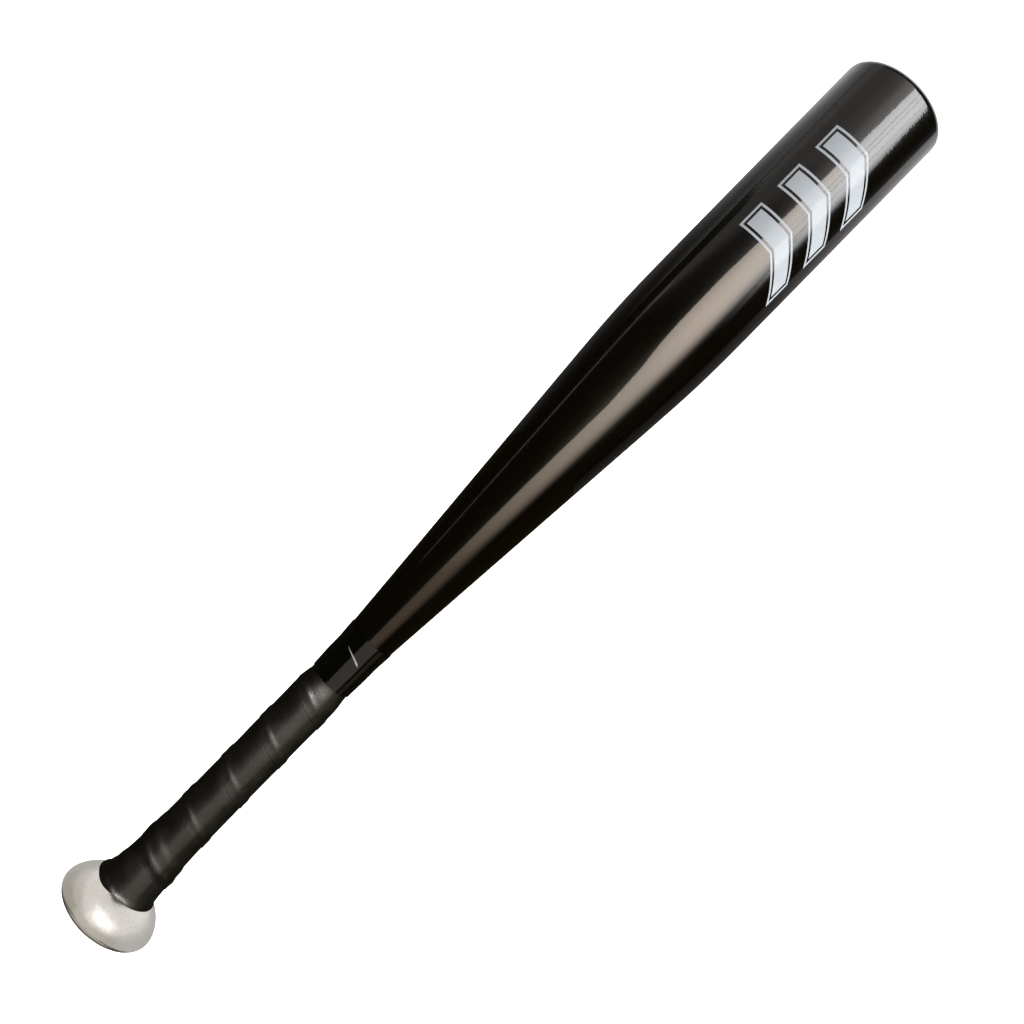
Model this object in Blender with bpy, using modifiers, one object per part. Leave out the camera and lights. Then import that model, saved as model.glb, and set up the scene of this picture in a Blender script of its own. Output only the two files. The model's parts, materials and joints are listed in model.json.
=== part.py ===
"""A short aluminium baseball bat, modelled piece by piece.

The bat lies along +X with its knob at the origin and its barrel at +X.
The origin is the centre of the knob's end face. Units are metres.

Pieces, from the knob to the barrel:
  knob            cast and polished knob with a flared neck and a socket for the tube
  vent_plug       rubber plug in the vent hole of the knob
  knob_weld       weld bead between the knob's neck and the tube
  bat_tube        one drawn and swaged tube: handle, taper, barrel and rolled-in mouth
  grip_base_tape  adhesive tape under the grip
  grip_wrap       one leather strip wound left-handed from the knob, each turn over the last
  finishing_tape  band that holds the end of the strip
  foam_plug       damping plug inside the barrel
  end_cap         moulded cap that snaps behind the barrel's rolled lip
"""

import math

import bmesh
import bpy

MM = 0.001

# ---- Driving dimensions ----
LENGTH = 537 * MM  # whole bat, knob face to cap face
BARREL_R = 27 * MM
HANDLE_R = 10 * MM
WALL = 1.8 * MM  # tube wall
GAP = 0.3 * MM  # clearance between touching pieces

TAPER_START = 161.6 * MM  # where the handle's line meets the taper's line
TAPER_SLOPE = 0.0784  # radius gained for each unit of length
TAPER_END = TAPER_START + (BARREL_R - HANDLE_R) / TAPER_SLOPE
START_SOFTNESS = 8 * MM  # how gently the handle turns into the taper
END_SOFTNESS = 9 * MM  # how gently the taper turns into the barrel
BEND_REACH = 5  # a bend has died out this many softnesses away from its knee

CAP_PROUD = 0.4 * MM  # the cap's face stands this far out of the mouth
SHOULDER_LENGTH = 5.5 * MM  # rolled shoulder at the barrel's mouth, along the bat
SHOULDER_DEPTH = 8.5 * MM  # and across it
MOUTH_X = LENGTH - CAP_PROUD
MOUTH_R = BARREL_R - SHOULDER_DEPTH
SHOULDER_X = MOUTH_X - SHOULDER_LENGTH

KNOB_R = 25.2 * MM
KNOB_WIDEST_X = 9.9 * MM
KNOB_DOME_R = 40 * MM  # rounding of the end, down to a flat face about 9 mm in radius
KNOB_RIM_R = 3.9 * MM  # rounding from the dome to the widest point
KNOB_BACK_LENGTH = 14 * MM  # half axes of the rounding from the widest point to the neck
KNOB_BACK_DEPTH = 17.7 * MM
KNOB_BACK_POWER = 1.2  # between an ellipse, 1, and a straight cone, 2
KNOB_BACK_TURN = 66  # degrees of that rounding down to the neck
NECK_START_X = 21.6 * MM
NECK_END_X = 44 * MM
SOCKET_BOTTOM_X = 10 * MM
VENT_R = 2.4 * MM
PLUG_HEAD_R = 4.6 * MM
PLUG_HEAD_DEPTH = 1.8 * MM
PLUG_BARB = 0.6 * MM  # how far the plug's barb reaches past its hole
PLUG_BARB_LENGTH = 2 * MM
PLUG_TIP_R = 1.5 * MM

FLARE_HEIGHT = 2.35 * MM  # how far the neck stands above the handle at the knob
FLARE_REACH = 21 * MM
FLARE_POWER = 1.4
WELD_LENGTH = 5 * MM

LAYER_GAP = 0.15 * MM  # clearance between the thin layers of the grip
BASE_TAPE = 0.35 * MM
BASE_TAPE_END_X = 141 * MM
BRIDGE_START_X = 150 * MM  # past the base tape, the strip sinks to the bare tube
BRIDGE_END_X = 158 * MM

WRAP_START_X = 22.9 * MM
WRAP_END_X = 168 * MM
WRAP_WIDTH = 30 * MM
WRAP_PITCH = 25.7 * MM
WRAP_FIRST_EDGE_X = 40.7 * MM  # knob-side edge of the first whole turn, on top of the bat
WRAP_THICKNESS = 0.95 * MM
WRAP_EDGE_THICKNESS = 0.3 * MM  # the strip is skived thin along both edges
WRAP_SKIVE = 5 * MM  # width of the skived margin
WRAP_RAMP = 1.2 * MM  # how fast a turn comes down off the last one
WRAP_TIP = 1.0 * MM  # width of the strip's pointed ends
WRAP_LIP = 1.4 * MM  # the strip's start is folded under into a thicker lip at the knob
WRAP_LIP_REACH = 1.5 * MM
WRAP_THIN_FROM_X = 146 * MM  # the strip is pulled thin towards its end
WRAP_THIN_TO_X = 159 * MM
WRAP_THIN_FACTOR = 0.25

FINISH_START_X = 158 * MM
FINISH_END_X = 186 * MM
FINISH_THICKNESS = 0.25 * MM
FINISH_DROP = 10 * MM  # length over which it comes down from the strip to the tube

FOAM_START_X = 465 * MM
FOAM_END_X = 515 * MM
FOAM_CHAMFER = 3 * MM

CAP_FACE = 2.6 * MM  # thickness of the cap's face
CAP_FLAT_R = 9 * MM  # flat middle of the cap's face
CAP_GROOVE = 0.6 * MM  # depth of the ring groove in the face
CAP_GROOVE_SLOPE = 1 * MM  # width of each of the groove's sloping sides
CAP_RIM = 3 * MM  # width of the rim outside the groove
CAP_CHAMFER = 0.5 * MM
CAP_SKIRT_X = 521 * MM  # inner end of the cap's skirt
CAP_SKIRT_WALL = 1.6 * MM
CAP_BEAD = 2.0 * MM  # how far the snap bead reaches behind the lip
CAP_BEAD_LEDGE = 0.8 * MM  # length of the bead's steep side
CAP_BEAD_LENGTH = 3.5 * MM
CAP_SKIRT_PLAY = 0.6 * MM  # how far the skirt stands inside the mouth
CAP_SLOT = 2.0 * MM  # width of the slots that let the skirt spring in
CAP_SLOT_MARGIN = 1.5 * MM  # how far the slots stop short of the face
CAP_SLOTS = 6

TUBE_SEGMENTS = 48
GRIP_SEGMENTS = 30
SMALL_SEGMENTS = 24
HALF_FACET = 180 / TUBE_SEGMENTS  # in degrees


# ---- Shapes as functions of the position along the bat ----
def softplus(distance, softness):
    """Zero before the knee, the distance after it, and a smooth bend between."""
    return softness * math.log1p(math.exp(distance / softness))


def tube_radius(x):
    """Outer radius of the tube, up to its shoulder."""
    rise = softplus(x - TAPER_START, START_SOFTNESS)
    levelled = softplus(x - TAPER_END, END_SOFTNESS)
    return HANDLE_R + TAPER_SLOPE * (rise - levelled)


def flare(x):
    """How far the knob's neck and its weld stand above the tube."""
    along = max(0.0, x - NECK_START_X)
    return FLARE_HEIGHT * math.exp(-((along / FLARE_REACH) ** FLARE_POWER))


def core_radius(x):
    """Radius of the metal that the grip is wound on."""
    return tube_radius(x) + flare(x)


def smoothstep(x, low, high):
    f = min(1.0, max(0.0, (x - low) / (high - low)))
    return f * f * (3 - 2 * f)


def wrap_base(x):
    """Radius that the strip lies on: the base tape, and past its end the bare tube."""
    tape = LAYER_GAP + BASE_TAPE
    sunk = smoothstep(x, BRIDGE_START_X, BRIDGE_END_X)
    return core_radius(x) + LAYER_GAP + tape * (1 - sunk)


def strip_thickness(x, edge_x):
    """Thickness of the strip at x, when its knob-side edge is at edge_x."""
    across = x - edge_x
    from_edge = min(across, WRAP_WIDTH - across)
    skive = min(1.0, max(0.0, from_edge / WRAP_SKIVE))
    full = WRAP_EDGE_THICKNESS + (WRAP_THICKNESS - WRAP_EDGE_THICKNESS) * skive
    full += WRAP_LIP * math.exp(-(x - WRAP_START_X) / WRAP_LIP_REACH)
    thin = smoothstep(x, WRAP_THIN_FROM_X, WRAP_THIN_TO_X)
    return full * (1 - (1 - WRAP_THIN_FACTOR) * thin)


def strip_lift(x, edge_x):
    """How far the last turn raises the strip at x."""
    last_edge = edge_x + WRAP_WIDTH - WRAP_PITCH  # far edge of the last turn
    beyond = x - last_edge
    if beyond >= WRAP_RAMP:
        return 0.0
    reach = min(x, last_edge)
    height = strip_thickness(reach, edge_x - WRAP_PITCH) + LAYER_GAP
    return height * (1 - max(0.0, beyond) / WRAP_RAMP)


# ---- Making objects ----
def clear_scene():
    for obj in list(bpy.data.objects):
        bpy.data.objects.remove(obj, do_unlink=True)


def new_collection(name):
    collection = bpy.data.collections.new(name)
    bpy.context.scene.collection.children.link(collection)
    return collection


def material(name, color, metallic, roughness):
    mat = bpy.data.materials.new(name)
    mat.use_nodes = True
    shader = mat.node_tree.nodes["Principled BSDF"]
    shader.inputs["Base Color"].default_value = (*color, 1)
    shader.inputs["Metallic"].default_value = metallic
    shader.inputs["Roughness"].default_value = roughness
    mat.diffuse_color = (*color, 1)
    return mat


def place(name, mesh, mat, collection):
    obj = bpy.data.objects.new(name, mesh)
    mesh.materials.append(mat)
    collection.objects.link(obj)
    return obj


def turned(name, profile, mat, collection, segments, closed=False):
    """Turn a profile of (x, radius) points about the bat's axis.

    The points run down the outer side, from the barrel end to the knob end.
    A closed profile is a ring's section, and an open one starts and ends on the axis.
    """
    count = len(profile)
    edges = [(i, i + 1) for i in range(count - 1)]
    if closed:
        edges.append((count - 1, 0))
    mesh = bpy.data.meshes.new(name)
    mesh.from_pydata([(r, 0, x) for x, r in profile], edges, [])
    obj = place(name, mesh, mat, collection)
    obj.rotation_euler = (0, math.pi / 2, 0)  # the profile's Z becomes the bat's X
    screw = obj.modifiers.new("turn", "SCREW")
    screw.steps = segments
    screw.render_steps = segments
    screw.use_smooth_shade = True
    screw.use_merge_vertices = True
    screw.merge_threshold = 0.00001
    return obj


def arc(centre, along, across, start, end, steps):
    """Points (x, r) on an elliptical arc, with angles in degrees from +X towards larger r."""
    points = []
    for i in range(steps + 1):
        a = math.radians(start + (end - start) * i / steps)
        points.append((centre[0] + along * math.cos(a), centre[1] + across * math.sin(a)))
    return points


def spaced(start, end, steps):
    return [start + (end - start) * i / steps for i in range(steps + 1)]


# ---- The pieces ----
def tube_stations(steps):
    """Where the tube's outline is sampled: each bend in so many steps, then the open end."""
    barrel_bend = BEND_REACH * END_SOFTNESS
    handle_bend = BEND_REACH * START_SOFTNESS
    barrel = spaced(TAPER_END + barrel_bend, TAPER_END - barrel_bend, steps)
    handle = spaced(TAPER_START + handle_bend, TAPER_START - handle_bend, steps)
    return barrel + handle + [SOCKET_BOTTOM_X + GAP]


def make_tube(collection):
    """The swaged tube, open at the knob's socket and at the barrel's mouth."""
    shoulder = (SHOULDER_X, MOUTH_R)
    outer = arc(shoulder, SHOULDER_LENGTH, SHOULDER_DEPTH, 0, 90, steps=6)
    outer += [(x, tube_radius(x)) for x in tube_stations(steps=8)]
    inner = [(x, tube_radius(x) - WALL) for x in reversed(tube_stations(steps=4))]
    inner += arc(shoulder, SHOULDER_LENGTH - WALL, SHOULDER_DEPTH - WALL, 90, 0, steps=4)
    black = material("black_paint", (0.010, 0.009, 0.008), 0.3, 0.12)
    return turned("bat_tube", outer + inner, black, collection, TUBE_SEGMENTS, closed=True)


def knob_back():
    """The knob's back, from the neck out to the widest point."""
    points = []
    for degrees in spaced(KNOB_BACK_TURN, 0, steps=7):
        a = math.radians(degrees)
        x = KNOB_WIDEST_X + KNOB_BACK_LENGTH * math.sin(a) ** KNOB_BACK_POWER
        fall = 1 - math.cos(a) ** KNOB_BACK_POWER
        points.append((x, KNOB_R - KNOB_BACK_DEPTH * fall))
    return points


def knob_front():
    """The rim's rounding, then the dome that it runs into, down to the flat end face."""
    rim = (KNOB_WIDEST_X, KNOB_R - KNOB_RIM_R)
    apart = KNOB_DOME_R - KNOB_RIM_R  # the centres of two arcs that touch
    dome_x = rim[0] + math.sqrt(apart**2 - rim[1] ** 2)
    flat_angle = math.degrees(math.acos(dome_x / KNOB_DOME_R))
    meet = math.degrees(math.atan2(rim[1], dome_x - rim[0]))
    points = arc(rim, KNOB_RIM_R, KNOB_RIM_R, 90, 180 - meet, steps=4)[1:]
    points += arc((dome_x, 0), KNOB_DOME_R, KNOB_DOME_R, 180 - meet, 180 - flat_angle, steps=3)[1:]
    return points


def make_knob(collection):
    """The knob, with a hollow neck for the tube and a stepped vent hole."""
    polished = material("polished_aluminium", (0.80, 0.79, 0.77), 1.0, 0.22)
    back = knob_back()
    neck = [(x, core_radius(x)) for x in spaced(NECK_END_X, back[0][0] + GAP, steps=5)]
    socket_r = HANDLE_R + GAP
    recess_r = PLUG_HEAD_R + GAP
    recess_x = PLUG_HEAD_DEPTH + GAP
    inside = [(0, recess_r), (recess_x, recess_r), (recess_x, VENT_R + GAP)]
    inside += [(SOCKET_BOTTOM_X, VENT_R + GAP), (SOCKET_BOTTOM_X, socket_r)]
    inside += [(NECK_END_X, socket_r)]
    profile = neck + back + knob_front() + inside
    return turned("knob", profile, polished, collection, TUBE_SEGMENTS, closed=True)


def make_vent_plug(collection):
    """Mushroom plug, flush with the knob's end face, with a barb inside the tube."""
    rubber = material("plug_rubber", (0.02, 0.02, 0.02), 0.0, 0.6)
    barb_x = SOCKET_BOTTOM_X + GAP
    tip_x = barb_x + PLUG_BARB_LENGTH
    profile = [(tip_x, 0), (tip_x, PLUG_TIP_R), (barb_x, VENT_R + PLUG_BARB)]
    profile += [(barb_x, VENT_R), (PLUG_HEAD_DEPTH, VENT_R), (PLUG_HEAD_DEPTH, PLUG_HEAD_R)]
    profile += [(0, PLUG_HEAD_R), (0, 0)]
    return turned("vent_plug", profile, rubber, collection, SMALL_SEGMENTS)


def make_knob_weld(collection):
    """The bead between the neck's end and the tube, ground to follow the flare."""
    bead = material("weld_bead", (0.62, 0.61, 0.60), 1.0, 0.5)
    start_x = NECK_END_X + GAP
    outer = [(x, core_radius(x)) for x in spaced(start_x + WELD_LENGTH, start_x, steps=3)]
    inner = [(start_x, HANDLE_R + GAP), (start_x + WELD_LENGTH, HANDLE_R + GAP)]
    outer[0] = (start_x + WELD_LENGTH, HANDLE_R + 2 * GAP)
    return turned("knob_weld", outer + inner, bead, collection, SMALL_SEGMENTS, closed=True)


def make_base_tape(collection):
    """Thin adhesive sleeve between the metal and the strip."""
    tape = material("base_tape", (0.75, 0.73, 0.68), 0.0, 0.8)
    stations = spaced(BASE_TAPE_END_X, WRAP_START_X, steps=16)
    outer = [(x, core_radius(x) + LAYER_GAP + BASE_TAPE) for x in stations]
    inner = [(x, core_radius(x) + LAYER_GAP) for x in reversed(stations)]
    return turned("grip_base_tape", outer + inner, tape, collection, GRIP_SEGMENTS, closed=True)


def strip_section(turn):
    """Section of the strip after a number of turns, as (x, inner radius, outer radius)."""
    edge_x = WRAP_FIRST_EDGE_X + WRAP_PITCH * turn
    overlap = WRAP_WIDTH - WRAP_PITCH
    skive = WRAP_WIDTH - WRAP_SKIVE
    across = [0, overlap, overlap + WRAP_RAMP, 2 * overlap, (2 * overlap + skive) / 2, skive, WRAP_WIDTH]
    last = len(across) - 1
    least = WRAP_TIP / last  # stations squeezed at a trimmed end stay this far apart
    section = []
    for i, u in enumerate(across):
        low = WRAP_START_X + least * i
        high = WRAP_END_X - least * (last - i)
        x = min(max(edge_x + u, low), high)
        inner = wrap_base(x) + strip_lift(x, edge_x)
        section.append((x, inner, inner + strip_thickness(x, edge_x)))
    return section


def make_wrap(collection):
    """The wound strip: a loft of sections that climbs the handle left-handed."""
    leather = material("black_leather", (0.022, 0.021, 0.019), 0.0, 0.5)
    first = (WRAP_START_X + WRAP_TIP - WRAP_WIDTH - WRAP_FIRST_EDGE_X) / WRAP_PITCH
    final = (WRAP_END_X - WRAP_TIP - WRAP_FIRST_EDGE_X) / WRAP_PITCH
    low_step = math.ceil(first * GRIP_SEGMENTS)
    high_step = math.floor(final * GRIP_SEGMENTS)
    bm = bmesh.new()
    rings = []
    for step in range(low_step, high_step + 1):
        turn = step / GRIP_SEGMENTS
        angle = math.pi / 2 - 2 * math.pi * turn  # from +Y towards +Z
        c, s = math.cos(angle), math.sin(angle)
        section = strip_section(turn)
        loop = [(x, outer) for x, inner, outer in section]
        loop += [(x, inner) for x, inner, outer in reversed(section)]
        rings.append([bm.verts.new((x, r * c, r * s)) for x, r in loop])
    count = len(rings[0])
    for a, b in zip(rings, rings[1:]):
        for i in range(count):
            j = (i + 1) % count
            bm.faces.new((a[i], a[j], b[j], b[i]))
    bm.faces.new(rings[0])
    bm.faces.new(reversed(rings[-1]))
    bmesh.ops.triangulate(bm, faces=list(bm.faces))
    bmesh.ops.recalc_face_normals(bm, faces=list(bm.faces))
    mesh = bpy.data.meshes.new("grip_wrap")
    bm.to_mesh(mesh)
    bm.free()
    return place("grip_wrap", mesh, leather, collection)


def make_finishing_tape(collection):
    """The band that holds down the strip's end and closes onto the bare tube."""
    tape = material("finishing_tape", (0.014, 0.014, 0.013), 0.0, 0.3)

    def inside(x):
        edge_x = x - (WRAP_WIDTH - WRAP_PITCH)  # the strip's two turns are thickest here
        over = strip_lift(x, edge_x) + strip_thickness(x, edge_x) + LAYER_GAP
        on_wrap = 1 - smoothstep(x, WRAP_END_X + GAP, WRAP_END_X + FINISH_DROP)
        return wrap_base(x) + (over + LAYER_GAP) * on_wrap

    stations = spaced(FINISH_END_X, FINISH_START_X, steps=10)
    outer = [(x, inside(x) + FINISH_THICKNESS) for x in stations]
    inner = [(x, inside(x)) for x in reversed(stations)]
    return turned("finishing_tape", outer + inner, tape, collection, GRIP_SEGMENTS, closed=True)


def make_foam_plug(collection):
    """Light foam disc pushed into the barrel, which deadens its ring."""
    foam = material("foam", (0.55, 0.52, 0.42), 0.0, 0.95)
    r = BARREL_R - WALL - GAP
    profile = [(FOAM_END_X, 0), (FOAM_END_X, r - FOAM_CHAMFER), (FOAM_END_X - FOAM_CHAMFER, r)]
    profile += [(FOAM_START_X + FOAM_CHAMFER, r), (FOAM_START_X, r - FOAM_CHAMFER)]
    profile += [(FOAM_START_X, 0)]
    return turned("foam_plug", profile, foam, collection, TUBE_SEGMENTS)


def make_end_cap(collection, cutters):
    """Cup-shaped moulding with a ring groove in its face and a slotted snap skirt."""
    plastic = material("cap_plastic", (0.015, 0.015, 0.015), 0.0, 0.35)
    face_r = MOUTH_R - GAP
    lip_inside_x = MOUTH_X - WALL - GAP
    groove_x = LENGTH - CAP_GROOVE
    face = [(LENGTH, 0), (LENGTH, CAP_FLAT_R), (groove_x, CAP_FLAT_R + CAP_GROOVE_SLOPE)]
    face += [(groove_x, face_r - CAP_RIM - CAP_GROOVE_SLOPE), (LENGTH, face_r - CAP_RIM)]
    face += [(LENGTH, face_r - CAP_CHAMFER), (LENGTH - CAP_CHAMFER, face_r)]
    bead_r = MOUTH_R + CAP_BEAD
    skirt_r = face_r - CAP_SKIRT_PLAY
    snap = [(lip_inside_x, face_r), (lip_inside_x - CAP_BEAD_LEDGE, bead_r)]
    snap += [(lip_inside_x - CAP_BEAD_LENGTH, skirt_r), (CAP_SKIRT_X, skirt_r)]
    back_x = groove_x - CAP_FACE
    hollow_r = skirt_r - CAP_SKIRT_WALL
    hollow = [(CAP_SKIRT_X, hollow_r), (back_x, hollow_r), (back_x, 0)]
    cap = turned("end_cap", face + snap + hollow, plastic, collection, TUBE_SEGMENTS)
    slot_end_x = back_x - CAP_SLOT_MARGIN
    slot_start_x = CAP_SKIRT_X - CAP_SLOT
    for i in range(CAP_SLOTS // 2):  # each cutter goes right across and makes two slots
        bpy.ops.mesh.primitive_cube_add(size=1)
        slot = bpy.context.active_object
        slot.name = f"cap_slot_cutter_{i}"
        slot.dimensions = (slot_end_x - slot_start_x, 3 * MOUTH_R, CAP_SLOT)
        slot.location = ((slot_end_x + slot_start_x) / 2, 0, 0)
        slot.rotation_euler = (math.radians(360 / CAP_SLOTS * i + HALF_FACET), 0, 0)
        slot.hide_render = True
        slot.display_type = "WIRE"
        for owner in list(slot.users_collection):
            owner.objects.unlink(slot)
        cutters.objects.link(slot)
        cut = cap.modifiers.new(f"slot_{i}", "BOOLEAN")
        cut.operation = "DIFFERENCE"
        cut.object = slot
    return cap


def main():
    clear_scene()
    parts = new_collection("baseball_bat")
    cutters = new_collection("cutters")
    make_knob(parts)
    make_vent_plug(parts)
    make_knob_weld(parts)
    make_tube(parts)
    make_base_tape(parts)
    make_wrap(parts)
    make_finishing_tape(parts)
    make_foam_plug(parts)
    make_end_cap(parts, cutters)


main()
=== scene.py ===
"""Looks of the baseball bat: painted tube, polished knob, wound grip, printed graphic.

The bat lies along +X with its knob at the origin, on a pale floor. Units are metres.
Every visible CAD node is replaced by a finer mesh of the same size.
"""

import json
import math

import bmesh
import bpy
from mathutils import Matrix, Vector, noise

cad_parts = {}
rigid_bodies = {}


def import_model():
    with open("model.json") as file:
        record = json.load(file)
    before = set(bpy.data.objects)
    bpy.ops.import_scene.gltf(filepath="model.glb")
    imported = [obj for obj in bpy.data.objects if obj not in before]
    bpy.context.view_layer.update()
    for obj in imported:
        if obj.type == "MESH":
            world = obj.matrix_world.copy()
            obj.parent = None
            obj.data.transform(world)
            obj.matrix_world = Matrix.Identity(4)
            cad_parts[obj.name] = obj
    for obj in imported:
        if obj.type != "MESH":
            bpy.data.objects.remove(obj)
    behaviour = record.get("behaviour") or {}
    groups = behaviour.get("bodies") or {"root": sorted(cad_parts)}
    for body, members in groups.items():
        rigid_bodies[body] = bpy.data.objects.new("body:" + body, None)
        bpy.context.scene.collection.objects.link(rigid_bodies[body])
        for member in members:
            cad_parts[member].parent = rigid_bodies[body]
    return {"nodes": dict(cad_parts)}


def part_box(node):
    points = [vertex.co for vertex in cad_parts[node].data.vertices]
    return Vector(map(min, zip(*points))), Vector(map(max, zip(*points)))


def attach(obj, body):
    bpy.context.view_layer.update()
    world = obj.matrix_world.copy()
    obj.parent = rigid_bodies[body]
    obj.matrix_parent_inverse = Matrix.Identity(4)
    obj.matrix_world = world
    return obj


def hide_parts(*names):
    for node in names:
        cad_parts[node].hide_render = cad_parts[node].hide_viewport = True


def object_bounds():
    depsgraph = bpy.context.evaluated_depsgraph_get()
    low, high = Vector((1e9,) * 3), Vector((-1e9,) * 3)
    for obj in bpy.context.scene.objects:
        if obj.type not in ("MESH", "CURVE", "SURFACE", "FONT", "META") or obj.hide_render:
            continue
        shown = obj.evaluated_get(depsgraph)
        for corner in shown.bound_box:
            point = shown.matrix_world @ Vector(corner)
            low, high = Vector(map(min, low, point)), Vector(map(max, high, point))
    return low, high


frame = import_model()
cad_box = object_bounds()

MM = 0.001

# ---- Sizes, the same as the CAD's ----
LENGTH = cad_box[1].x
BARREL_R = cad_box[1].z
HANDLE_R = 10 * MM
WALL = 1.8 * MM
GAP = 0.3 * MM

TAPER_START = 161.6 * MM
TAPER_SLOPE = 0.0784
TAPER_END = TAPER_START + (BARREL_R - HANDLE_R) / TAPER_SLOPE
START_SOFTNESS = 8 * MM
END_SOFTNESS = 9 * MM

TUBE_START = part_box("bat_tube")[0].x
MOUTH_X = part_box("bat_tube")[1].x
SHOULDER_LENGTH = 5.5 * MM
SHOULDER_DEPTH = 8.5 * MM
MOUTH_R = BARREL_R - SHOULDER_DEPTH
SHOULDER_X = MOUTH_X - SHOULDER_LENGTH

KNOB_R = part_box("knob")[1].z
KNOB_WIDEST_X = 9.9 * MM
KNOB_DOME_R = 40 * MM
KNOB_RIM_R = 3.9 * MM
KNOB_BACK_LENGTH = 14 * MM
KNOB_BACK_DEPTH = 17.7 * MM
KNOB_BACK_POWER = 1.2
KNOB_BACK_TURN = 66
NECK_START_X = 21.6 * MM
NECK_END_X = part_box("knob")[1].x
SOCKET_BOTTOM_X = TUBE_START - GAP
VENT_R = 2.4 * MM
PLUG_HEAD_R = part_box("vent_plug")[1].z
PLUG_HEAD_DEPTH = 1.8 * MM
PLUG_BARB = 0.6 * MM
PLUG_BARB_LENGTH = 2 * MM
PLUG_TIP_R = 1.44 * MM  # a little less than the CAD's, inside the tube
PLUG_DIMPLE = 0.25 * MM  # depth of the dimple in the plug's head
FLARE_HEIGHT = 2.35 * MM
FLARE_REACH = 21 * MM
FLARE_POWER = 1.4

LAYER_GAP = 0.15 * MM
BASE_TAPE = 0.35 * MM
BRIDGE_START_X = 150 * MM
BRIDGE_END_X = 158 * MM
WRAP_START_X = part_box("grip_wrap")[0].x
WRAP_END_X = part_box("grip_wrap")[1].x
WRAP_WIDTH = 30 * MM
WRAP_PITCH = 25.7 * MM
WRAP_FIRST_EDGE_X = 40.7 * MM
WRAP_THICKNESS = 0.95 * MM
WRAP_EDGE_THICKNESS = 0.3 * MM
WRAP_SKIVE = 5 * MM
WRAP_RAMP = 3.2 * MM  # longer than the CAD's, so that each turn comes down softly
WRAP_TIP = 1.0 * MM
WRAP_LIP = 1.4 * MM
WRAP_LIP_REACH = 1.5 * MM
WRAP_THIN_FROM_X = 146 * MM
WRAP_THIN_TO_X = 159 * MM
WRAP_THIN_FACTOR = 0.25

FINISH_START_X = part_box("finishing_tape")[0].x
FINISH_END_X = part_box("finishing_tape")[1].x
FINISH_THICKNESS = 0.25 * MM
FINISH_DROP = 10 * MM

CAP_FACE = 2.6 * MM
CAP_FLAT_R = 9 * MM
CAP_GROOVE = 0.6 * MM
CAP_GROOVE_SLOPE = 1 * MM
CAP_RIM = 3 * MM
CAP_CHAMFER = 0.5 * MM
CAP_SKIRT_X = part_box("end_cap")[0].x
CAP_SKIRT_WALL = 1.6 * MM
CAP_SKIRT_PLAY = 0.6 * MM
CAP_BEAD = 2.0 * MM
CAP_BEAD_LEDGE = 0.8 * MM
CAP_BEAD_LENGTH = 3.5 * MM
MOULDED_EDGE = 0.3 * MM  # rounding of the plug's and the cap's corners


# ---- Shapes as functions of the position along the bat ----
def softplus(distance, softness):
    """Zero before the knee, the distance after it, and a smooth bend between."""
    return softness * math.log1p(math.exp(distance / softness))


def smoothstep(x, low, high):
    f = min(1.0, max(0.0, (x - low) / (high - low)))
    return f * f * (3 - 2 * f)


def tube_radius(x):
    rise = softplus(x - TAPER_START, START_SOFTNESS)
    levelled = softplus(x - TAPER_END, END_SOFTNESS)
    return HANDLE_R + TAPER_SLOPE * (rise - levelled)


def flare(x):
    along = max(0.0, x - NECK_START_X)
    return FLARE_HEIGHT * math.exp(-((along / FLARE_REACH) ** FLARE_POWER))


def core_radius(x):
    return tube_radius(x) + flare(x)


def wrap_base(x):
    """Radius that the strip lies on."""
    tape = LAYER_GAP + BASE_TAPE
    sunk = smoothstep(x, BRIDGE_START_X, BRIDGE_END_X)
    return core_radius(x) + LAYER_GAP + tape * (1 - sunk)


def strip_thickness(x, edge_x):
    """Thickness of the strip at x, when its knob-side edge is at edge_x."""
    across = x - edge_x
    from_edge = min(across, WRAP_WIDTH - across)
    skive = smoothstep(from_edge, 0, WRAP_SKIVE)
    full = WRAP_EDGE_THICKNESS + (WRAP_THICKNESS - WRAP_EDGE_THICKNESS) * skive
    full += WRAP_LIP * math.exp(-(x - WRAP_START_X) / WRAP_LIP_REACH)
    thin = smoothstep(x, WRAP_THIN_FROM_X, WRAP_THIN_TO_X)
    return full * (1 - (1 - WRAP_THIN_FACTOR) * thin)


def strip_lift(x, edge_x):
    """How far the last turn raises the strip at x."""
    last_edge = edge_x + WRAP_WIDTH - WRAP_PITCH
    height = strip_thickness(min(x, last_edge), edge_x - WRAP_PITCH) + LAYER_GAP
    return height * (1 - smoothstep(x, last_edge, last_edge + WRAP_RAMP))


# ---- Making meshes ----
def finish_mesh(obj, sharp_degrees=35):
    """Faces outward, smooth, with sharp edges where the surface really turns."""
    bm = bmesh.new()
    bm.from_mesh(obj.data)
    bmesh.ops.recalc_face_normals(bm, faces=list(bm.faces))
    bm.to_mesh(obj.data)
    bm.free()
    obj.data.shade_smooth()
    obj.data.set_sharp_from_angle(angle=math.radians(sharp_degrees))


def new_piece(name, verts, faces, mat, replaces=None):
    mesh = bpy.data.meshes.new(name)
    mesh.from_pydata(verts, [], faces)
    mesh.materials.append(mat)
    obj = bpy.data.objects.new(name, mesh)
    bpy.context.scene.collection.objects.link(obj)
    finish_mesh(obj)
    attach(obj, "root")
    if replaces:
        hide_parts(replaces)
    return obj


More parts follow.
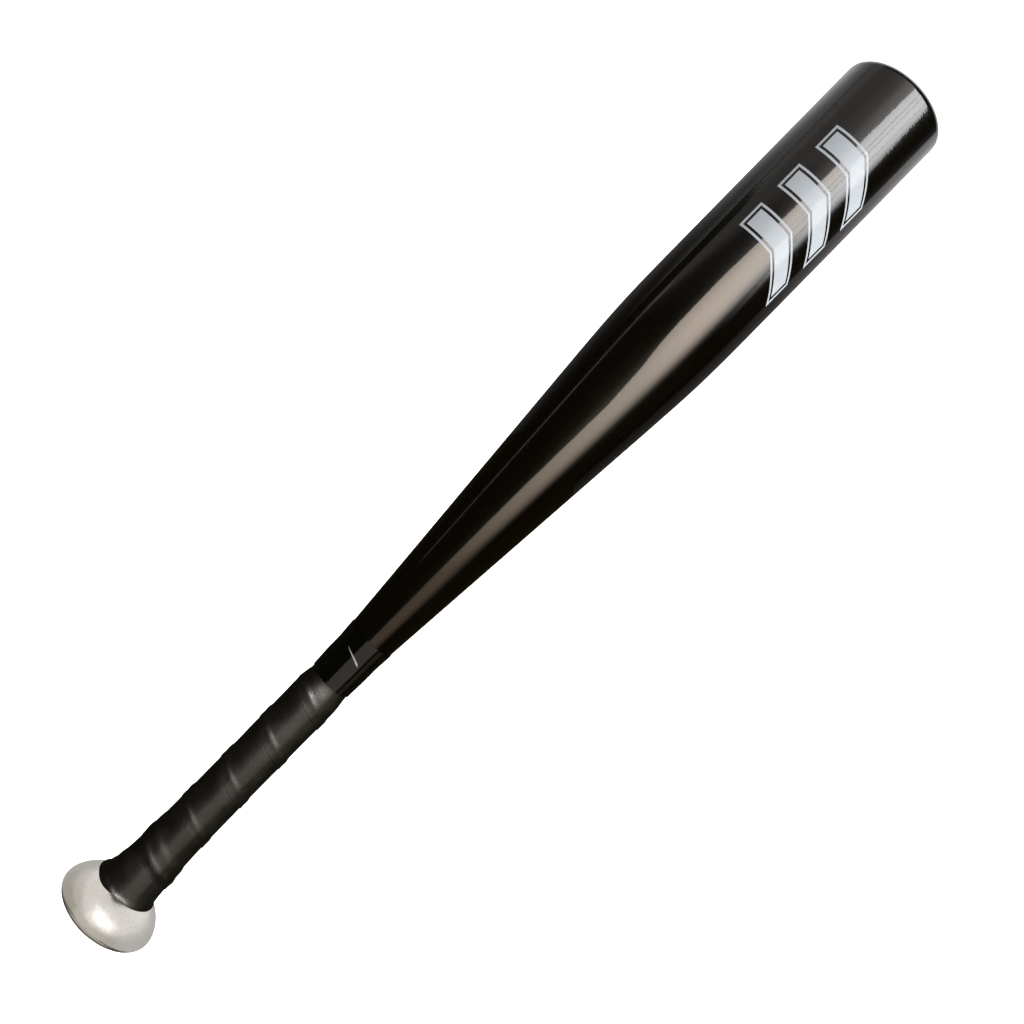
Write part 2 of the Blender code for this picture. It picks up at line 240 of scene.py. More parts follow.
def spun(profile, segments, shift=None):
    """Vertices and faces of a profile of (x, radius) points turned about the bat's axis.

    A closed profile is a ring's section. One that starts and ends on the axis closes there.
    shift(x, radius, angle) may return a small change of the radius.
    """
    verts = []
    rows = []
    for x, r in profile:
        if r == 0:
            rows.append([len(verts)] * segments)
            verts.append((x, 0, 0))
            continue
        row = []
        for j in range(segments):
            a = 2 * math.pi * j / segments
            radius = r + (shift(x, r, a) if shift else 0)
            row.append(len(verts))
            verts.append((x, radius * math.cos(a), radius * math.sin(a)))
        rows.append(row)
    open_profile = profile[0][1] == 0
    pairs = list(zip(rows, rows[1:]))
    if not open_profile:
        pairs.append((rows[-1], rows[0]))
    faces = []
    for low, high in pairs:
        for j in range(segments):
            k = (j + 1) % segments
            corners = [low[j], low[k], high[k], high[j]]
            faces.append(list(dict.fromkeys(corners)))
    return verts, faces


def arc(centre, along, across, start, end, steps):
    """Points (x, r) on an elliptical arc, with angles in degrees from +X towards larger r."""
    points = []
    for i in range(steps + 1):
        a = math.radians(start + (end - start) * i / steps)
        points.append((centre[0] + along * math.cos(a), centre[1] + across * math.sin(a)))
    return points


def spaced(start, end, steps):
    return [start + (end - start) * i / steps for i in range(steps + 1)]


def softened(profile, radius, steps=3):
    """The profile with its inner corners rounded, for moulded and machined edges."""
    points = [profile[0]]
    for before, corner, after in zip(profile, profile[1:], profile[2:]):
        b = Vector(before) - Vector(corner)
        a = Vector(after) - Vector(corner)
        reach = min(radius, b.length * 0.45, a.length * 0.45)
        start = Vector(corner) + b.normalized() * reach
        end = Vector(corner) + a.normalized() * reach
        for i in range(steps + 1):
            t = i / steps
            p = start * (1 - t) ** 2 + Vector(corner) * 2 * t * (1 - t) + end * t * t
            points.append(tuple(p))
    points.append(profile[-1])
    return points


# ---- Material helpers ----
class Graph:
    """A material's node tree, with short calls for the nodes used here."""

    def __init__(self, name, color, roughness, metallic=0.0):
        self.mat = bpy.data.materials.new(name)
        self.mat.use_nodes = True
        self.nodes = self.mat.node_tree.nodes
        self.links = self.mat.node_tree.links
        self.shader = self.nodes["Principled BSDF"]
        self.set("Base Color", (*color, 1))
        self.set("Roughness", roughness)
        self.set("Metallic", metallic)
        self.place = self.nodes.new("ShaderNodeTexCoord").outputs["Object"]

    def set(self, socket, value):
        self.shader.inputs[socket].default_value = value

    def link(self, out, socket):
        self.links.new(out, self.shader.inputs[socket])

    def stretched(self, scale):
        node = self.nodes.new("ShaderNodeMapping")
        node.inputs["Scale"].default_value = scale
        self.links.new(self.place, node.inputs["Vector"])
        return node.outputs["Vector"]

    def noise(self, scale, detail=3.0, roughness=0.5):
        node = self.nodes.new("ShaderNodeTexNoise")
        node.inputs["Scale"].default_value = 1.0
        node.inputs["Detail"].default_value = detail
        node.inputs["Roughness"].default_value = roughness
        self.links.new(self.stretched(scale), node.inputs["Vector"])
        return node.outputs["Fac"]

    def cells(self, scale, feature="F1"):
        node = self.nodes.new("ShaderNodeTexVoronoi")
        node.feature = feature
        node.inputs["Scale"].default_value = 1.0
        self.links.new(self.stretched(scale), node.inputs["Vector"])
        return node.outputs["Distance"]

    def axis(self, name):
        """The position along one of the bat's axes."""
        node = self.nodes.new("ShaderNodeSeparateXYZ")
        self.links.new(self.place, node.inputs["Vector"])
        return node.outputs[name]

    def ramp(self, value, low, high, at_low=0.0, at_high=1.0):
        node = self.nodes.new("ShaderNodeMapRange")
        node.inputs["From Min"].default_value = low
        node.inputs["From Max"].default_value = high
        node.inputs["To Min"].default_value = at_low
        node.inputs["To Max"].default_value = at_high
        self.links.new(value, node.inputs["Value"])
        return node.outputs["Result"]

    def glow(self, value, stops):
        """A colour ramp over a length, with its stops given in metres."""
        low, high = stops[0][0], stops[-1][0]
        node = self.nodes.new("ShaderNodeValToRGB")
        elements = node.color_ramp.elements
        while len(elements) < len(stops):
            elements.new(0.5)
        for element, (at, color) in zip(elements, stops):
            element.position = (at - low) / (high - low)
            element.color = (*color, 1)
        self.links.new(self.ramp(value, low, high), node.inputs["Fac"])
        return node.outputs["Color"]

    def math(self, how, a, b):
        node = self.nodes.new("ShaderNodeMath")
        node.operation = how
        for socket, value in zip(node.inputs, (a, b)):
            if isinstance(value, (int, float)):
                socket.default_value = value
            else:
                self.links.new(value, socket)
        return node.outputs["Value"]

    def mix(self, share, first, second):
        node = self.nodes.new("ShaderNodeMix")
        node.data_type = "RGBA"
        self.links.new(share, node.inputs["Factor"])
        for name, value in (("A", first), ("B", second)):
            socket = [s for s in node.inputs if s.name == name and s.type == "RGBA"][0]
            if isinstance(value, tuple):
                socket.default_value = (*value, 1)
            else:
                self.links.new(value, socket)
        return [s for s in node.outputs if s.type == "RGBA"][0]

    def bump(self, height, distance, strength=1.0, under=None):
        node = self.nodes.new("ShaderNodeBump")
        node.inputs["Distance"].default_value = distance
        node.inputs["Strength"].default_value = strength
        self.links.new(height, node.inputs["Height"])
        if under is not None:
            self.links.new(under, node.inputs["Normal"])
        return node.outputs["Normal"]


def black_paint():
    """Gloss black enamel: fine lengthwise draw lines, orange peel that is worst at the mouth, dust."""
    g = Graph("black_paint", (0.0012, 0.0009, 0.0004), 0.22)
    g.set("Coat Weight", 1.0)
    g.set("Coat Roughness", 0.03)
    g.set("Specular IOR Level", 0.2)
    lines = g.noise((7, 800, 800), 4.0, 0.6)
    peel = g.noise((900, 420, 420), 2.0, 0.55)
    specks = g.ramp(g.cells((300, 300, 300)), 0.03, 0.07, 1.0, 0.0)
    rare = g.ramp(g.noise((45, 45, 45), 1.0), 0.66, 0.70)
    dust = g.math("MULTIPLY", specks, rare)
    along = g.axis("X")
    coarse = g.math("MULTIPLY", peel, g.ramp(along, 0.40, 0.50, 0.25, 1.0))
    normal = g.bump(lines, 0.000006)
    normal = g.bump(coarse, 0.00003, 1.0, normal)
    normal = g.bump(dust, 0.00004, 1.0, normal)
    g.link(normal, "Normal")
    g.link(normal, "Coat Normal")
    g.link(g.ramp(g.noise((14, 60, 60)), 0.3, 0.7, 0.17, 0.30), "Roughness")
    g.link(g.mix(dust, (0.0012, 0.0009, 0.0004), (0.05, 0.048, 0.044)), "Base Color")
    return g.mat


def polished_metal():
    """Buffed cast aluminium: soft cloudy reflections, small pits and scratches."""
    g = Graph("polished_aluminium", (0.80, 0.78, 0.75), 0.24, 1.0)
    cloud = g.noise((60, 60, 60), 3.0)
    fine = g.noise((1800, 500, 500), 3.0)
    pits = g.ramp(g.cells((330, 330, 330)), 0.04, 0.12, 1.0, 0.0)
    rare = g.ramp(g.noise((110, 110, 110), 1.0), 0.60, 0.64)
    pit = g.math("MULTIPLY", pits, rare)
    normal = g.bump(cloud, 0.0006)
    normal = g.bump(fine, 0.000006, 1.0, normal)
    normal = g.bump(g.math("MULTIPLY", pit, -1), 0.00015, 1.0, normal)
    g.link(normal, "Normal")
    g.link(g.ramp(cloud, 0.3, 0.7, 0.20, 0.34), "Roughness")
    tone = g.mix(g.ramp(cloud, 0.35, 0.65), (0.76, 0.74, 0.71), (0.86, 0.85, 0.84))
    g.link(g.mix(pit, tone, (0.42, 0.41, 0.40)), "Base Color")
    return g.mat


def leather():
    """Satin synthetic leather: pebbled grain, worn lighter on its high places."""
    g = Graph("black_leather", (0.002, 0.0018, 0.001), 0.45)
    g.set("Specular IOR Level", 0.35)
    g.set("Coat Weight", 0.5)
    g.set("Coat Roughness", 0.22)
    pebbles = g.cells((1500, 1500, 1500), "SMOOTH_F1")
    creases = g.noise((500, 900, 900), 3.0)
    wide = g.noise((90, 90, 90), 2.0)
    normal = g.bump(pebbles, 0.00008, 0.6)
    normal = g.bump(creases, 0.00006, 0.6, normal)
    g.link(normal, "Normal")
    g.link(normal, "Coat Normal")
    g.link(g.ramp(wide, 0.3, 0.7, 0.38, 0.52), "Roughness")
    worn = g.ramp(wide, 0.45, 0.75)
    g.link(g.mix(worn, (0.0015, 0.0013, 0.0006), (0.003, 0.0026, 0.0018)), "Base Color")
    return g.mat


def vinyl_tape():
    """Smooth stretched vinyl: faint pull lines round the handle."""
    g = Graph("finishing_tape", (0.0040, 0.0042, 0.0030), 0.12)
    g.set("Specular IOR Level", 0.42)
    pull = g.noise((500, 60, 60), 3.0)
    normal = g.bump(pull, 0.000006)
    g.link(normal, "Normal")
    g.link(g.ramp(pull, 0.3, 0.7, 0.09, 0.16), "Roughness")
    return g.mat


def moulded_plastic():
    """Black moulded cap with a fine spark-eroded texture."""
    g = Graph("cap_plastic", (0.013, 0.013, 0.013), 0.38)
    grain = g.noise((2600, 2600, 2600), 2.0)
    wide = g.noise((140, 140, 140), 2.0)
    g.link(g.bump(grain, 0.00003, 0.7), "Normal")
    g.link(g.ramp(wide, 0.3, 0.7, 0.32, 0.46), "Roughness")
    return g.mat


def soft_rubber():
    g = Graph("plug_rubber", (0.018, 0.018, 0.018), 0.6)
    grain = g.noise((1900, 1900, 1900), 2.0)
    g.link(g.bump(grain, 0.00003, 0.6), "Normal")
    g.link(g.ramp(grain, 0.3, 0.7, 0.5, 0.7), "Roughness")
    return g.mat


def weld_metal():
    """Weld bead with its stacked ripples."""
    g = Graph("weld_bead", (0.62, 0.61, 0.60), 0.45, 1.0)
    ripples = g.noise((260, 500, 500), 2.0)
    g.link(g.bump(ripples, 0.0003), "Normal")
    g.link(g.ramp(ripples, 0.3, 0.7, 0.35, 0.6), "Roughness")
    return g.mat


def paper_tape():
    """Pale crepe adhesive tape, with painted shade darkening the troughs of its crinkles."""
    g = Graph("base_tape", (0.62, 0.60, 0.55), 0.75)
    crepe = g.noise((1400, 200, 200), 3.0)
    g.link(g.bump(crepe, 0.00008), "Normal")
    # Painted shade: darker in the crepe's troughs, lighter on its crests.
    g.link(g.mix(crepe, (0.50, 0.48, 0.44), (0.72, 0.70, 0.65)), "Base Color")
    return g.mat


def open_foam():
    """Cream foam with open cells, with painted shade darkening the cells' hollows."""
    g = Graph("foam", (0.55, 0.52, 0.42), 0.95)
    cells = g.cells((900, 900, 900))
    g.link(g.bump(cells, 0.0005), "Normal")
    # Painted shade: darker in the hollow middles of the cells, lighter on the cell walls.
    g.link(g.mix(cells, (0.38, 0.35, 0.27), (0.62, 0.59, 0.48)), "Base Color")
    return g.mat


def print_ink():
    """Screen-printed pale ink, with a slightly uneven film."""
    g = Graph("graphic_print", (0.72, 0.76, 0.80), 0.3)
    g.set("Coat Weight", 0.5)
    g.set("Coat Roughness", 0.08)
    film = g.noise((260, 260, 260), 3.0)
    g.link(g.bump(g.noise((900, 900, 900), 2.0), 0.00001), "Normal")
    g.link(g.mix(film, (0.66, 0.71, 0.76), (0.78, 0.81, 0.84)), "Base Color")
    return g.mat


# ---- The pieces ----
def make_tube():
    """The painted tube, whole: handle under the grip, taper, barrel, rolled mouth."""
    shoulder = (SHOULDER_X, MOUTH_R)
    outer = arc(shoulder, SHOULDER_LENGTH, SHOULDER_DEPTH, 0, 90, steps=24)
    outer += [(x, tube_radius(x)) for x in spaced(SHOULDER_X, TUBE_START, steps=220)[1:]]
    inner = [(x, tube_radius(x) - WALL) for x in spaced(TUBE_START, SHOULDER_X, steps=55)[:-1]]
    inner += arc(shoulder, SHOULDER_LENGTH - WALL, SHOULDER_DEPTH - WALL, 90, 0, steps=12)
    wave_height = 0.02 * MM

    def drawn(x, _, a):
        """Slight waves that a swaged tube keeps."""
        p = Vector((x * 14, math.cos(a) * 1.2, math.sin(a) * 1.2))
        return wave_height * noise.noise(p)

    verts, faces = spun(outer + inner, 192, drawn)
    new_piece("painted_tube", verts, faces, black_paint(), "bat_tube")


def knob_profile():
    """The knob's section, from the neck over the back, the rim and the end, and back up the socket."""
    back = []
    for degrees in spaced(KNOB_BACK_TURN, 0, steps=60):
        a = math.radians(degrees)
        x = KNOB_WIDEST_X + KNOB_BACK_LENGTH * math.sin(a) ** KNOB_BACK_POWER
        fall = 1 - math.cos(a) ** KNOB_BACK_POWER
        back.append((x, KNOB_R - KNOB_BACK_DEPTH * fall))
    rim = (KNOB_WIDEST_X, KNOB_R - KNOB_RIM_R)
    apart = KNOB_DOME_R - KNOB_RIM_R
    dome_x = rim[0] + math.sqrt(apart**2 - rim[1] ** 2)
    flat_angle = math.degrees(math.acos(dome_x / KNOB_DOME_R))
    meet = math.degrees(math.atan2(rim[1], dome_x - rim[0]))
    front = arc(rim, KNOB_RIM_R, KNOB_RIM_R, 90, 180 - meet, steps=16)[1:]
    front += arc((dome_x, 0), KNOB_DOME_R, KNOB_DOME_R, 180 - meet, 180 - flat_angle, steps=16)[1:]
    neck = [(x, core_radius(x)) for x in spaced(NECK_END_X, back[0][0] + GAP, steps=20)]
    recess_r = PLUG_HEAD_R + GAP
    recess_x = PLUG_HEAD_DEPTH + GAP
    hole = [(0, recess_r + 1 * MM), (0, recess_r), (recess_x, recess_r), (recess_x, VENT_R + GAP)]
    hole = softened(hole, 0.25 * MM)
    socket_r = HANDLE_R + GAP
    inside = [(SOCKET_BOTTOM_X, VENT_R + GAP), (SOCKET_BOTTOM_X, socket_r), (NECK_END_X, socket_r)]
    return neck + back + front + hole + inside


def make_knob():
    """The buffed casting, with a slightly uneven surface and a few knocks."""
    # Each knock: place along the bat in mm, angle from +Y towards +Z in degrees, depth and radius in mm.
    knocks = [(7, 128, 0.088, 1.6), (14, 70, 0.048, 1.6), (12, 205, 0.06, 1.6), (4, 300, 0.08, 1.6)]
    knocks += [(16, 250, 0.048, 1.6), (5.5, 104, 0.18, 2.2), (6.5, 84, 0.1, 1.5), (9, 112, 0.048, 1.2)]
    knocks += [(12, 137, 0.1, 0.8), (10.6, 141, 0.12, 0.7), (13.2, 143, 0.08, 0.7), (11.6, 147, 0.1, 0.8)]
    knocks += [(8.5, 139, 0.06, 1.0)]
    wave_height = 0.06 * MM
    kept_round_plug = PLUG_HEAD_R + 2 * MM

    def worn(x, r, a):
        if r < kept_round_plug or x > NECK_START_X:
            return 0
        p = Vector((x * 60, r * math.cos(a) * 60, r * math.sin(a) * 60))
        change = wave_height * noise.noise(p)
        for at_x, at_angle, depth, radius in knocks:
            turn = math.remainder(a - math.radians(at_angle), 2 * math.pi) * r
            near = ((x - at_x * MM) ** 2 + turn**2) / (radius * MM) ** 2
            change -= depth * MM * math.exp(-near)
        return change

    verts, faces = spun(knob_profile(), 288, worn)
    new_piece("knob_casting", verts, faces, polished_metal(), "knob")


def make_vent_plug():
    """The mushroom plug, with a dimple in its head and a barb inside the tube."""
    barb_x = SOCKET_BOTTOM_X + GAP
    tip_x = barb_x + PLUG_BARB_LENGTH
    profile = [(tip_x, 0), (tip_x, PLUG_TIP_R), (barb_x, VENT_R + PLUG_BARB)]
    profile += [(barb_x, VENT_R), (PLUG_HEAD_DEPTH, VENT_R), (PLUG_HEAD_DEPTH, PLUG_HEAD_R)]
    profile += [(0, PLUG_HEAD_R), (0, PLUG_HEAD_R * 0.45)]
    profile += [(PLUG_DIMPLE, PLUG_HEAD_R * 0.3), (PLUG_DIMPLE, 0)]
    verts, faces = spun(softened(profile, MOULDED_EDGE), 96)
    new_piece("rubber_vent_plug", verts, faces, soft_rubber(), "vent_plug")


def make_strip():
    """The wound strip: rounded edges, pulled creases, and an edge that wanders a little."""
    per_turn = 150
    overlap = WRAP_WIDTH - WRAP_PITCH
    ramp_end = overlap + WRAP_RAMP
    skive = WRAP_WIDTH - WRAP_SKIVE
    edge = [0, 0.02, 0.08, 0.2, 0.4, 0.7]
    edge_end = 1.2 * MM
    across = [u * MM for u in edge] + spaced(edge_end, overlap, steps=4)
    across += spaced(overlap, ramp_end, steps=7)[1:] + spaced(ramp_end, skive, steps=12)[1:]
    across += spaced(skive, WRAP_WIDTH - edge_end, steps=5)[1:]
    across += [WRAP_WIDTH - u * MM for u in reversed(edge)]
    last = len(across) - 1
    least = WRAP_TIP / last  # stations squeezed at a trimmed end stay this far apart
    first_turn = (WRAP_START_X + WRAP_TIP - WRAP_WIDTH - WRAP_FIRST_EDGE_X) / WRAP_PITCH
    final_turn = (WRAP_END_X - WRAP_TIP - WRAP_FIRST_EDGE_X) / WRAP_PITCH
    fold_width, fold_height, fold_slope = 12.4 * MM, 0.55 * MM, 1.2 * MM
    edge_wander = 0.35 * MM
    groove_x, groove_depth, groove_width = 1.9, 0.22 * MM, 0.35  # behind the lip; the first and last in mm
    swell_height, least_swell, crease_height = 0.10 * MM, 0.04 * MM, 0.07 * MM

    def start_fold(x, edge_x, turn):
        """The strip starts with a fold, which lifts the first turn until it ends."""
        fold_end = edge_x + fold_width
        there = smoothstep(turn, -1.0, -0.6) * (1 - smoothstep(turn, 0.1, 0.5))
        return fold_height * there * (1 - smoothstep(x, fold_end - fold_slope, fold_end + fold_slope))

    def rounded(from_edge, thickness):
        """Share of the full thickness that the strip's cut edge has so near its end."""
        r = min(0.35 * MM, thickness)
        if from_edge >= r:
            return 1.0
        return 1 - (1 - math.sqrt(1 - (1 - from_edge / r) ** 2)) * 0.8

    verts = []
    faces = []
    before = None
    for step in range(math.ceil(first_turn * per_turn), math.floor(final_turn * per_turn) + 1):
        turn = step / per_turn
        angle = math.pi / 2 - 2 * math.pi * turn
        c, s = math.cos(angle), math.sin(angle)
        wander = edge_wander * noise.noise(Vector((turn * 3.1, 0, 7)))
        edge_x = WRAP_FIRST_EDGE_X + WRAP_PITCH * turn
        outer = []
        inner = []
        for i, u in enumerate(across):
            low = WRAP_START_X + least * i
            high = WRAP_END_X - least * (last - i)
            at_edge = smoothstep(overlap - u, 0, overlap)
            x = min(max(edge_x + u + wander * at_edge, low), high)
            thick = strip_thickness(x, edge_x)
            base = wrap_base(x) + strip_lift(x, edge_x)
            base += start_fold(x, edge_x, turn) * smoothstep(u, 0, overlap)
            base -= groove_depth * math.exp(-(((x - WRAP_START_X) / MM - groove_x) ** 2) / groove_width)
            lip = min(x - WRAP_START_X, u if edge_x > WRAP_START_X else 1)
            body = thick * rounded(max(0.0, min(lip, WRAP_WIDTH - u)), thick)
            p = Vector((x * 55, c * 1.3, s * 1.3 + turn * 0.7))
            bare = 1 - smoothstep(x, FINISH_START_X - 3 * MM, FINISH_START_X)
            swell = swell_height * noise.noise(p) * smoothstep(min(u, WRAP_WIDTH - u), 0, 2 * MM)
            pull = Vector((u * 160, turn * 22, 3))
            crease = crease_height * noise.noise(pull) * (1 - smoothstep(u, 2 * MM, 13 * MM))
            r = base + body + bare * (max(0.0, swell + least_swell) + crease * smoothstep(u, 0, 1 * MM))
            outer.append((x, r * c, r * s))
            inner.append((x, base * c, base * s))
        loop = outer + inner[::-1]
        start = len(verts)
        verts += loop
        count = len(loop)
        if before is None:
            faces.append(list(range(start, start + count)))
        else:
            for i in range(count):
                j = (i + 1) % count
                faces.append((before + i, before + j, start + j, start + i))
        before = start
    faces.append(list(range(before, before + 2 * (last + 1))))
    new_piece("leather_strip", verts, faces, leather(), "grip_wrap")


def band_inside(x):
    """The finishing band's inner radius: over the strip's doubled edge, then down to the tube."""
    over_x = min(x, WRAP_END_X)
    edge_x = over_x - (WRAP_WIDTH - WRAP_PITCH)
    clearance = 0.04 * MM
    over = strip_lift(over_x, edge_x) + strip_thickness(over_x, edge_x) + clearance
    return wrap_base(x) + over * (1 - smoothstep(x, WRAP_END_X - 1 * MM, WRAP_END_X + FINISH_DROP))


def make_finishing_band():
    """Stretched vinyl that runs smoothly off the end of the strip, with its start cut askew."""
    skew, skew_reach, skew_angle = 0.6 * MM, 8 * MM, 2.2

    def skewed(x, a):
        """The start edge leans a little round the handle."""
        lean = 1 - smoothstep(x, FINISH_START_X, FINISH_START_X + skew_reach)
        return x + skew * (1 - math.cos(a - skew_angle)) * lean

    stations = spaced(FINISH_END_X, FINISH_START_X, steps=70)
    edge = 0.12 * MM
    profile = [(x, FINISH_THICKNESS) for x in stations[1:-1]]
    profile = [(FINISH_END_X, edge), (FINISH_END_X - edge, FINISH_THICKNESS * 0.8)] + profile
    profile += [(FINISH_START_X + edge, FINISH_THICKNESS * 0.9), (FINISH_START_X, edge)]
    profile += [(x, 0) for x in reversed(stations)]
    segments = 160
    verts = []
    for x, height in profile:
        for j in range(segments):
            a = 2 * math.pi * j / segments
            at = skewed(x, a)
            r = band_inside(at) + height
            verts.append((at, r * math.cos(a), r * math.sin(a)))
    rows = len(profile)
    faces = []
    for i in range(rows):
        for j in range(segments):
            k, n = (j + 1) % segments, (i + 1) % rows
            faces.append((i * segments + j, i * segments + k, n * segments + k, n * segments + j))
    new_piece("vinyl_band", verts, faces, vinyl_tape(), "finishing_tape")


def make_tape_end_and_glint():
    """The band's torn free end: a thin pale sliver that lies along the winding, partly a painted highlight
    that stands in for the glint on the ridge under the band.
    """
    steps = 40
    half_turn = math.radians(24.5)
    start_x, run, bow = 173.6 * MM, 4.3 * MM, 0.18 * MM
    bottom, top = 0.01 * MM, 0.09 * MM  # above the band
    verts = []
    for i in range(steps + 1):
        f = i / steps
        a = half_turn * (1 - 2 * f)  # from the -Y side up and over
        centre_x = start_x + run * f + bow * math.sin(5 * f)
        half_width = 0.03 * MM + 0.5 * MM * (1 - f) ** 0.7 * smoothstep(f, 0, 0.14)
        half_width += 0.16 * MM * noise.noise(Vector((f * 9, 0, 2))) * smoothstep(f, 0, 0.2) * (1 - f)
        for side in (-1, 1):
            x = centre_x + side * half_width
            for height in (bottom, top):
                r = band_inside(x) + FINISH_THICKNESS + height
                verts.append((x, -r * math.sin(a), r * math.cos(a)))
    faces = [(0, 1, 3, 2)]
    for i in range(steps):
        k = 4 * i
        for a, b in ((0, 1), (1, 3), (3, 2), (2, 0)):
            faces.append((k + a, k + b, k + 4 + b, k + 4 + a))
    k = 4 * steps
    faces.append((k, k + 2, k + 3, k + 1))
    # The pale tape colour here is partly a painted highlight for the glint on the band's ridge.
    new_piece("tape_sliver", verts, faces, paper_tape())


def make_end_cap():
    """The moulded cap: flat middle, ring groove, snap bead and skirt, without the skirt's hidden slots."""
    face_r = MOUTH_R - GAP
    lip_inside_x = MOUTH_X - WALL - GAP
    groove_x = LENGTH - CAP_GROOVE
    profile = [(LENGTH, 0), (LENGTH, CAP_FLAT_R), (groove_x, CAP_FLAT_R + CAP_GROOVE_SLOPE)]
    profile += [(groove_x, face_r - CAP_RIM - CAP_GROOVE_SLOPE), (LENGTH, face_r - CAP_RIM)]
    profile += [(LENGTH, face_r - CAP_CHAMFER), (LENGTH - CAP_CHAMFER, face_r)]
    skirt_r = face_r - CAP_SKIRT_PLAY
    profile += [(lip_inside_x, face_r), (lip_inside_x - CAP_BEAD_LEDGE, MOUTH_R + CAP_BEAD)]
    profile += [(lip_inside_x - CAP_BEAD_LENGTH, skirt_r), (CAP_SKIRT_X, skirt_r)]
    back_x = groove_x - CAP_FACE
    hollow_r = skirt_r - CAP_SKIRT_WALL
    profile += [(CAP_SKIRT_X, hollow_r), (back_x, hollow_r), (back_x, 0)]
    verts, faces = spun(softened(profile, MOULDED_EDGE), 160)
    new_piece("moulded_cap", verts, faces, moulded_plastic(), "end_cap")


def inset(polygon, distance):
    """The polygon moved inwards by a distance, with its corners kept sharp."""
    count = len(polygon)
    moved = []
    for i in range(count):
        a, b, c = (Vector(polygon[(i + k) % count]) for k in (-1, 0, 1))
        d1 = (b - a).normalized()
        d2 = (c - b).normalized()
        n1 = Vector((-d1.y, d1.x))
        n2 = Vector((-d2.y, d2.x))
        bisector = (n1 + n2).normalized()
        moved.append(tuple(b + bisector * distance / bisector.dot(n1)))
    return moved


GRAPHIC_CENTRE_X = 462.5 * MM
GRAPHIC_TURN = math.radians(15)  # from straight up towards -Y
GRAPHIC_HALF = 19.3 * MM  # half the print's height round the barrel
GRAPHIC_SLANT = math.tan(math.radians(21))
GRAPHIC_PITCH = 24 * MM
CHEVRONS = 3
CHEVRON_WIDTH = 14 * MM
CHEVRON_POINT = 7 * MM
OUTLINE = 1.1 * MM
FILL_INSET = 2.3 * MM
INK_THICKNESS = 0.04 * MM


def on_barrel(u, v, height):
    """A point of the print: u along the bat, v round it towards +Y, height above the paint."""
    x = GRAPHIC_CENTRE_X + u + v * GRAPHIC_SLANT
    angle = GRAPHIC_TURN - v / BARREL_R
    r = tube_radius(x) + height
    return (x, -r * math.sin(angle), r * math.cos(angle))


def make_print(name, loops, ink):
    """A thin film of ink with the shape of a polygon, or of the band between two."""
    bm = bmesh.new()
    rings = [[bm.verts.new((u, v, 0)) for u, v in loop] for loop in loops]
    if len(rings) == 1:
        bm.faces.new(rings[0])
    else:
        count = len(rings[0])
        for i in range(count):
            j = (i + 1) % count
            bm.faces.new((rings[0][i], rings[0][j], rings[1][j], rings[1][i]))
    bmesh.ops.triangulate(bm, faces=list(bm.faces))
    steps = 40
    for i in range(1, steps):
        level = -GRAPHIC_HALF + 2 * GRAPHIC_HALF * i / steps
        everything = list(bm.verts) + list(bm.edges) + list(bm.faces)
        bmesh.ops.bisect_plane(bm, geom=everything, plane_co=(0, level, 0), plane_no=(0, 1, 0))
    bmesh.ops.dissolve_degenerate(bm, edges=list(bm.edges), dist=1e-7)
    flat = bpy.data.meshes.new(name)
    bm.to_mesh(flat)
    bm.free()
    verts = [on_barrel(v.co.x, v.co.y, -INK_THICKNESS / 2) for v in flat.vertices]
    faces = [list(p.vertices) for p in flat.polygons]
    bpy.data.meshes.remove(flat)
    mesh = bpy.data.meshes.new(name)
    mesh.from_pydata(verts, [], faces)
    mesh.materials.append(ink)
    obj = bpy.data.objects.new(name, mesh)
    bpy.context.scene.collection.objects.link(obj)
    bm = bmesh.new()
    bm.from_mesh(mesh)
    extruded = bmesh.ops.extrude_face_region(bm, geom=list(bm.faces))
    for v in [g for g in extruded["geom"] if isinstance(g, bmesh.types.BMVert)]:
        out = Vector((0, v.co.y, v.co.z)).normalized()
        v.co += out * INK_THICKNESS * 1.5
    bmesh.ops.recalc_face_normals(bm, faces=list(bm.faces))
    bm.to_mesh(mesh)
    bm.free()
    mesh.shade_smooth()
    mesh.set_sharp_from_angle(angle=math.radians(35))
    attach(obj, "root")


def make_graphic():
    """Three slanted, outlined chevrons, a generic speed mark."""
    ink = print_ink()
    for k in range(CHEVRONS):
        u = (k - (CHEVRONS - 1) / 2) * GRAPHIC_PITCH - (CHEVRON_WIDTH + CHEVRON_POINT) / 2
        w, p, h = CHEVRON_WIDTH, CHEVRON_POINT, GRAPHIC_HALF
        outline = [(u, -h), (u + w, -h), (u + w + p, 0), (u + w, h), (u, h), (u + p, 0)]
        make_print(f"chevron_outline_{k + 1}", [outline, inset(outline, OUTLINE)], ink)
        make_print(f"chevron_fill_{k + 1}", [inset(outline, FILL_INSET)], ink)


def dress_hidden_nodes():
    """The pieces inside keep their CAD meshes and get finished materials."""
    finishes = (("knob_weld", weld_metal()), ("foam_plug", open_foam()), ("grip_base_tape", paper_tape()))
    for node, mat in finishes:
        obj = frame["nodes"][node]
        obj.data.materials.clear()
        obj.data.materials.append(mat)


# ---- Floor, light and camera ----
CAMERA_HEIGHT = 468 * MM  # above the bat's axis
CAMERA_X = 273.8 * MM
CAMERA_Y = -5.5 * MM
CAMERA_TURN = math.radians(-45.55)
LENS = 35.16
KNOB_REST_X = KNOB_WIDEST_X
BARREL_REST_X = 420 * MM


def make_camera():
    data = bpy.data.cameras.new("camera")
    data.lens = LENS
    data.sensor_width = 36
    camera = bpy.data.objects.new("camera", data)
    camera.location = (CAMERA_X, CAMERA_Y, CAMERA_HEIGHT)
    camera.rotation_euler = (0, 0, CAMERA_TURN)
    bpy.context.scene.collection.objects.link(camera)
    bpy.context.scene.camera = camera


